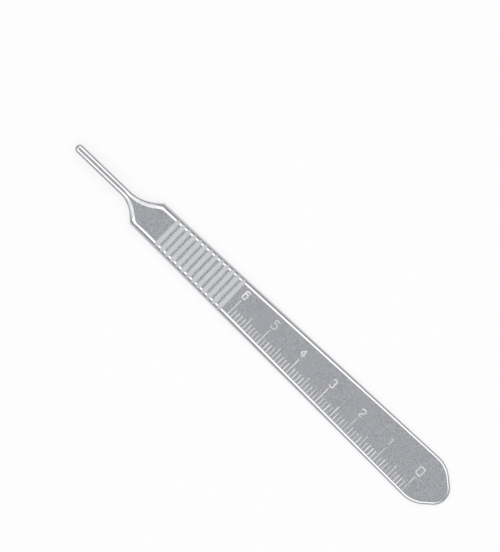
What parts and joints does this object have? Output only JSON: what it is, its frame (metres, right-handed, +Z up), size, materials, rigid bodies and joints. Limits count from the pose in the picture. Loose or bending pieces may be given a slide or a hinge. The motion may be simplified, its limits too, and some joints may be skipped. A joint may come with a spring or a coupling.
{
  "type": "scalpel handle",
  "caption": "Flat, tapering surgical scalpel handle with a narrow grooved tang for a detachable blade, ribbed finger grip, rounded butt and a centimetre ruler etched along one edge.",
  "frame": {"origin": "centre of the bounding box in X and Y, on the plane of the flat underside that the handle lies on", "axes": "X along the handle, blade tang toward -X and rounded butt toward +X; Y across the width, plain edge toward +Y and ruler edge toward -Y; Z up, through the thickness, ruler face up"},
  "size_m": [0.124, 0.013, 0.0035],
  "materials": {
    "steel": "satin stainless steel with polished rounded edges"
  },
  "bodies": {
    "root": {"handle": "steel"}
  },
  "joints": []
}
